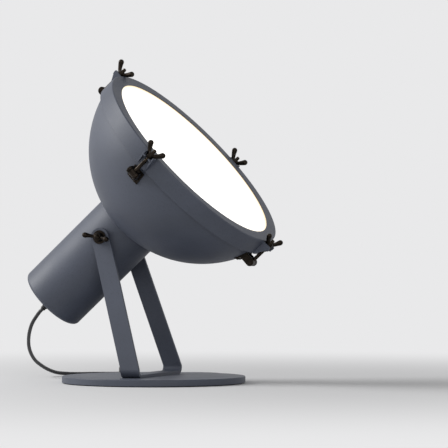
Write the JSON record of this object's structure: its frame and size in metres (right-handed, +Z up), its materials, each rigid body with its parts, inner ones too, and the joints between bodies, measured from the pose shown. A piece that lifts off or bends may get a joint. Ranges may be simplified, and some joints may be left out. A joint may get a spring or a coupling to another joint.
{
  "type": "tabletop searchlight lamp",
  "caption": "Bowl-shaped searchlight head with a swing-bolt bezel, tilting on a leaning U bracket over a round base, with its cord, in-line switch and plug.",
  "frame": {"origin": "centre of the round base's underside, on the table", "axes": "+X towards the side that the lamp faces, +Y towards its far side, +Z up"},
  "size_m": [0.4731, 0.5361, 0.5252],
  "materials": {
    "slate_paint": "matt slate-blue powder coat, satin where handled",
    "black_steel": "black-oxide steel, burnished along the edges",
    "bright_steel": "bright zinc plate",
    "pad_rubber": "matt",
    "seal_rubber": "matt",
    "boot_rubber": "matt",
    "cord_sheath": "satin sheath",
    "fibre": "pressed fibre",
    "holder_plastic": "glazed white",
    "bulb_glass": "frosted",
    "opal_glass": "opal, satin, lit from behind",
    "switch_plastic": "moulded, fine grain",
    "plug_plastic": "moulded, fine grain"
  },
  "bodies": {
    "base": {"base_plate": "slate_paint", "base_pad": "pad_rubber", "bracket": "slate_paint", "base_screws": "black_steel", "fibre_washers": "fibre", "cord_hanging": "cord_sheath", "cord_middle": "cord_sheath", "cord_coil": "cord_sheath", "cord_tail": "cord_sheath", "switch_base": "switch_plastic", "switch_cover": "switch_plastic", "switch_screws": "bright_steel", "plug_body": "plug_plastic", "plug_pins": "bright_steel"},
    "head": {"can_bosses": "slate_paint", "tilt_studs": "black_steel", "can_shell": "slate_paint", "rear_cap": "slate_paint", "cap_screws": "black_steel", "cap_nuts": "bright_steel", "cord_gland": "black_steel", "gland_locknut": "bright_steel", "cord_boot": "boot_rubber", "inner_lead": "cord_sheath", "bowl_shell": "slate_paint", "lamp_holder": "holder_plastic", "holder_ring": "holder_plastic", "holder_bridge": "bright_steel", "bridge_screws": "bright_steel", "bulb_cap": "bright_steel", "bulb_glass": "bulb_glass", "forks": "black_steel", "fork_rivets": "black_steel", "fork_pins": "black_steel", "bezel_ring": "slate_paint", "bezel_ears": "slate_paint", "glass_disc": "opal_glass", "front_gasket": "seal_rubber", "rear_seal": "seal_rubber", "glass_clips": "bright_steel"},
    "switch_rocker": {"switch_rocker": "switch_plastic"},
    "tilt_washer_near": {"tilt_washer_near": "black_steel"},
    "tilt_nut_near": {"tilt_nut_near": "black_steel"},
    "tilt_washer_far": {"tilt_washer_far": "black_steel"},
    "tilt_nut_far": {"tilt_nut_far": "black_steel"},
    "swing_bolt_top": {"swing_bolt_top": "black_steel"},
    "bolt_washer_top": {"bolt_washer_top": "black_steel"},
    "wing_nut_top": {"wing_nut_top": "black_steel"},
    "swing_bolt_near": {"swing_bolt_near": "black_steel"},
    "bolt_washer_near": {"bolt_washer_near": "black_steel"},
    "wing_nut_near": {"wing_nut_near": "black_steel"},
    "swing_bolt_far": {"swing_bolt_far": "black_steel"},
    "bolt_washer_far": {"bolt_washer_far": "black_steel"},
    "wing_nut_far": {"wing_nut_far": "black_steel"},
    "swing_bolt_bottom": {"swing_bolt_bottom": "black_steel"},
    "bolt_washer_bottom": {"bolt_washer_bottom": "black_steel"},
    "wing_nut_bottom": {"wing_nut_bottom": "black_steel"}
  },
  "joints": [
    {"name": "head_tilt", "type": "hinge", "parent": "base", "child": "head", "pos_m": [-0.06801, 0, 0.236], "axis": [0, -1, 0], "range_deg": [-45, 55], "deforming": ["cord_hanging"]},
    {"name": "tilt_washer_near_slide", "type": "slide", "parent": "head", "child": "tilt_washer_near", "axis": [0, -1, 0], "range_m": [0, 0.00125]},
    {"name": "tilt_nut_near_spin", "type": "hinge", "parent": "tilt_washer_near", "child": "tilt_nut_near", "pos_m": [-0.06801, 0, 0.236], "axis": [0, -1, 0], "range_deg": [0, 360]},
    {"name": "tilt_washer_far_slide", "type": "slide", "parent": "head", "child": "tilt_washer_far", "axis": [0, 1, 0], "range_m": [0, 0.00125]},
    {"name": "tilt_nut_far_spin", "type": "hinge", "parent": "tilt_washer_far", "child": "tilt_nut_far", "pos_m": [-0.06801, 0, 0.236], "axis": [0, 1, 0], "range_deg": [0, 360]},
    {"name": "swing_bolt_top_swing", "type": "hinge", "parent": "head", "child": "swing_bolt_top", "pos_m": [-0.08732, 0, 0.47466], "axis": [0, -1, 0], "range_deg": [0, 110]},
    {"name": "bolt_washer_top_slide", "type": "slide", "parent": "swing_bolt_top", "child": "bolt_washer_top", "axis": [0.7373, 0, 0.6756], "range_m": [0, 0.002]},
    {"name": "wing_nut_top_spin", "type": "hinge", "parent": "bolt_washer_top", "child": "wing_nut_top", "pos_m": [-0.05989, 0, 0.49979], "axis": [0.7373, 0, 0.6756], "range_deg": [0, 720]},
    {"name": "swing_bolt_near_swing", "type": "hinge", "parent": "head", "child": "swing_bolt_near", "pos_m": [0.04037, -0.18901, 0.33531], "axis": [0.6756, 0, -0.7373], "range_deg": [0, 110]},
    {"name": "bolt_washer_near_slide", "type": "slide", "parent": "swing_bolt_near", "child": "bolt_washer_near", "axis": [0.7373, 0, 0.6756], "range_m": [0, 0.002]},
    {"name": "wing_nut_near_spin", "type": "hinge", "parent": "bolt_washer_near", "child": "wing_nut_near", "pos_m": [0.0678, -0.18901, 0.36044], "axis": [0.7373, 0, 0.6756], "range_deg": [0, 720]},
    {"name": "swing_bolt_far_swing", "type": "hinge", "parent": "head", "child": "swing_bolt_far", "pos_m": [0.04037, 0.18901, 0.33531], "axis": [-0.6756, 0, 0.7373], "range_deg": [0, 110]},
    {"name": "bolt_washer_far_slide", "type": "slide", "parent": "swing_bolt_far", "child": "bolt_washer_far", "axis": [0.7373, 0, 0.6756], "range_m": [0, 0.002]},
    {"name": "wing_nut_far_spin", "type": "hinge", "parent": "bolt_washer_far", "child": "wing_nut_far", "pos_m": [0.0678, 0.18901, 0.36044], "axis": [0.7373, 0, 0.6756], "range_deg": [0, 720]},
    {"name": "swing_bolt_bottom_swing", "type": "hinge", "parent": "head", "child": "swing_bolt_bottom", "pos_m": [0.16806, 0, 0.19596], "axis": [0, 1, 0], "range_deg": [0, 110]},
    {"name": "bolt_washer_bottom_slide", "type": "slide", "parent": "swing_bolt_bottom", "child": "bolt_washer_bottom", "axis": [0.7373, 0, 0.6756], "range_m": [0, 0.002]},
    {"name": "wing_nut_bottom_spin", "type": "hinge", "parent": "bolt_washer_bottom", "child": "wing_nut_bottom", "pos_m": [0.19549, 0, 0.2211], "axis": [0.7373, 0, 0.6756], "range_deg": [0, 720]},
    {"name": "switch_rock", "type": "hinge", "parent": "base", "child": "switch_rocker", "pos_m": [-0.1203, 0.17897, 0.0105], "axis": [0.9272, 0.3746, 0], "range_deg": [0, 18]}
  ],
  "couplings": [
    {"joint": "tilt_nut_near_spin", "follows": "tilt_washer_near_slide", "rad_per_m": 5026.5},
    {"joint": "tilt_nut_far_spin", "follows": "tilt_washer_far_slide", "rad_per_m": 5026.5},
    {"joint": "wing_nut_top_spin", "follows": "bolt_washer_top_slide", "rad_per_m": 6283.1},
    {"joint": "wing_nut_near_spin", "follows": "bolt_washer_near_slide", "rad_per_m": 6283.1},
    {"joint": "wing_nut_far_spin", "follows": "bolt_washer_far_slide", "rad_per_m": 6283.1},
    {"joint": "wing_nut_bottom_spin", "follows": "bolt_washer_bottom_slide", "rad_per_m": 6283.1}
  ]
}
